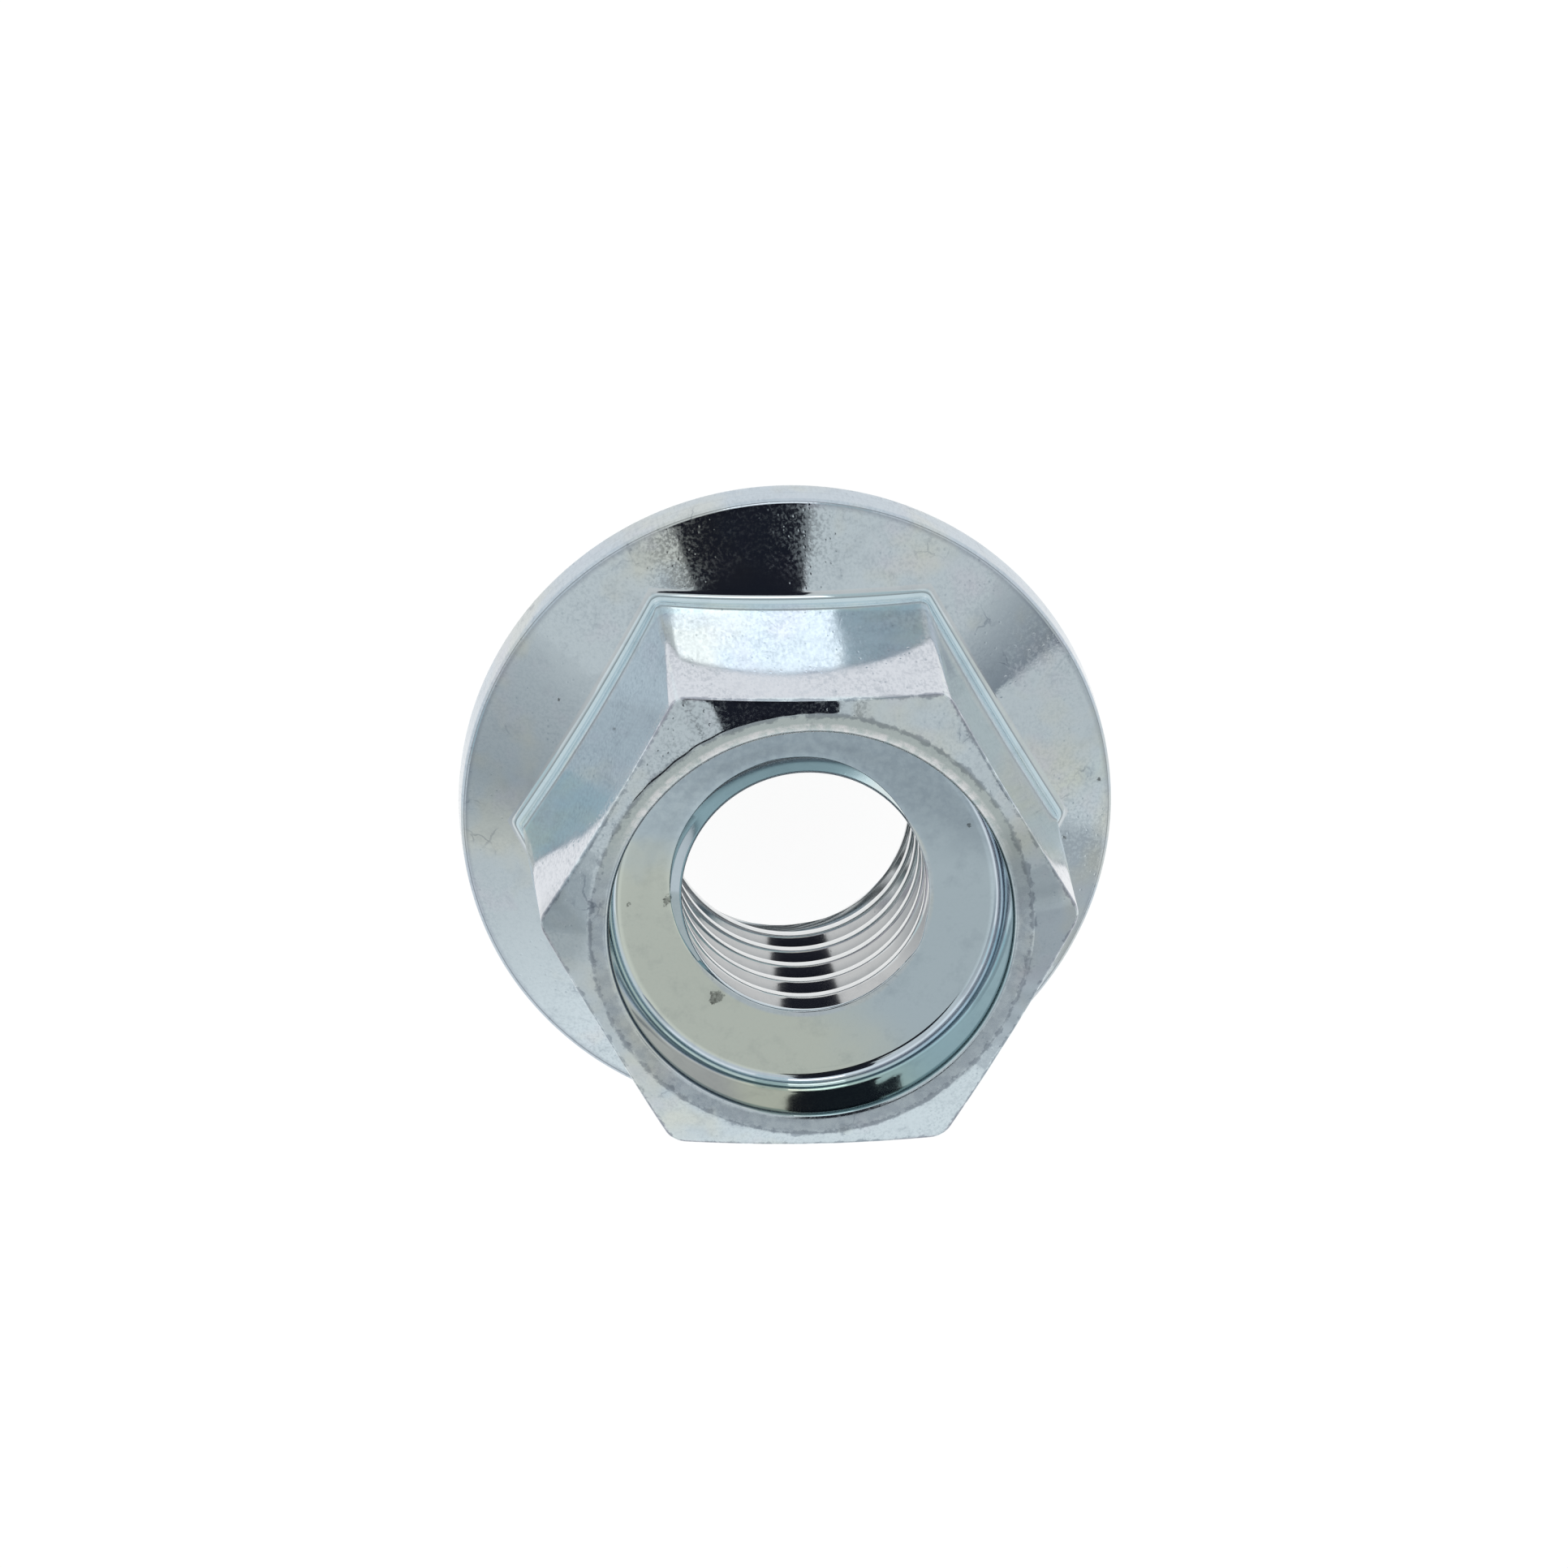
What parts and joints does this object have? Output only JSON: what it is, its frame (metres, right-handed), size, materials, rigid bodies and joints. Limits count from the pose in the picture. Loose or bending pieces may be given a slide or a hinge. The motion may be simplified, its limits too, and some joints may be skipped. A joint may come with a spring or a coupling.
{
  "type": "flange nut",
  "caption": "Hexagon nut with a conical round flange, a threaded through bore and a wide round recess in its free end.",
  "frame": {"origin": "centre of the bearing face under the flange", "axes": "+Z along the bore towards the free end of the hexagon, +Y square to one flat"},
  "size_m": [0.0182, 0.0182, 0.011],
  "materials": {
    "zinc_plated_steel": "bright zinc plate with a fine forged grain"
  },
  "bodies": {
    "root": {"flange_nut": "zinc_plated_steel"}
  },
  "joints": []
}
